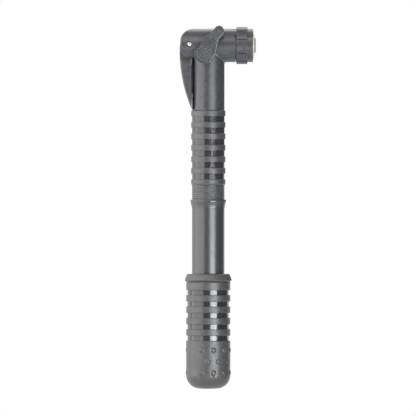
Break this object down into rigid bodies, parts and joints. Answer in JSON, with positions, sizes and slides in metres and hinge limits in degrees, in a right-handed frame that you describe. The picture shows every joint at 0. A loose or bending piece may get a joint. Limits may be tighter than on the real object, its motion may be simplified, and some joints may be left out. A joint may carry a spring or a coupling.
{
  "type": "bicycle mini pump",
  "caption": "Slim hand pump for bicycle tyres: T-shaped head with thumb lock lever, selector paddle and screwed chuck, smooth barrel, ringed upper grip and sliding rubber handle.",
  "frame": {"origin": "on the barrel's axis, in the middle of the smooth tube that a frame clip holds", "axes": "+Z along the barrel towards the head, +X the way the nozzle points, -Y the side of the selector paddle"},
  "size_m": [0.0516, 0.0318, 0.247],
  "materials": {
    "matte_black": "moulded, fine texture",
    "gloss_black": "polished",
    "tube_black": "satin black anodised aluminium",
    "grip_rubber": "matte moulded rubber",
    "seal_rubber": "smooth",
    "gland_rubber": "grey moulded rubber",
    "pale_plastic": "satin",
    "inner_plastic": "moulded acetal",
    "brass": "turned",
    "steel": "bright",
    "rod_alloy": "drawn and polished"
  },
  "bodies": {
    "pump_body": {"head_body": "matte_black", "lever_pin": "steel", "selector_bush": "brass", "barrel_tube": "tube_black", "barrel_seal": "seal_rubber", "check_valve_seat": "inner_plastic", "check_valve_spring": "steel", "grip_sleeve": "gloss_black", "grip_bands": "grip_rubber", "barrel_collar": "gloss_black", "rod_guide": "inner_plastic", "rod_wiper": "seal_rubber"},
    "lever": {"lock_lever": "matte_black"},
    "plunger": {"plunger": "inner_plastic", "plunger_o_rings": "seal_rubber", "valve_pin": "brass"},
    "selector": {"selector_lever": "matte_black", "selector_spindle": "brass", "selector_o_ring": "seal_rubber"},
    "gland": {"valve_gland": "gland_rubber"},
    "cap": {"chuck_cap": "matte_black", "chuck_face_ring": "pale_plastic"},
    "valve_disc": {"check_valve_disc": "seal_rubber"},
    "rod": {"piston_rod": "rod_alloy", "piston_head": "inner_plastic", "piston_seal": "seal_rubber", "piston_screw": "steel", "rod_screw": "steel"},
    "handle": {"handle_core": "gloss_black", "handle_lip": "gloss_black", "handle_bands": "grip_rubber", "handle_grip": "grip_rubber", "bumper": "seal_rubber"}
  },
  "joints": [
    {"name": "handle_slide", "type": "slide", "parent": "pump_body", "child": "rod", "axis": [0, 0, -1], "range_m": [0, 0.155]},
    {"name": "handle_spin", "type": "hinge", "parent": "rod", "child": "handle", "pos_m": [0, 0, -0.093], "axis": [0, 0, 1], "continuous": true},
    {"name": "lock_lever_hinge", "type": "hinge", "parent": "pump_body", "child": "lever", "pos_m": [-0.01285, 0, 0.1336], "axis": [0, 1, 0], "range_deg": [0, 90]},
    {"name": "plunger_slide", "type": "slide", "parent": "pump_body", "child": "plunger", "axis": [1, 0, 0], "range_m": [0, 0.00245], "deforming": ["valve_gland"]},
    {"name": "selector_hinge", "type": "hinge", "parent": "pump_body", "child": "selector", "pos_m": [-0.0024, -0.0115, 0.1276], "axis": [0, -1, 0], "range_deg": [0, 78]},
    {"name": "cap_travel", "type": "slide", "parent": "pump_body", "child": "gland", "axis": [1, 0, 0], "range_m": [0, 0.00605]},
    {"name": "cap_turn", "type": "hinge", "parent": "gland", "child": "cap", "pos_m": [0.0246, 0, 0.1329], "axis": [1, 0, 0], "range_deg": [0, 1440]},
    {"name": "check_valve_lift", "type": "slide", "parent": "pump_body", "child": "valve_disc", "axis": [0, 0, 1], "range_m": [0, 0.002], "stiffness_N_per_m": 250, "springref_m": -0.001, "deforming": ["check_valve_spring"]}
  ],
  "couplings": [
    {"joint": "plunger_slide", "follows": "lock_lever_hinge", "m_per_rad": 0.0015279},
    {"joint": "cap_travel", "follows": "cap_turn", "m_per_rad": 0.00023873}
  ]
}
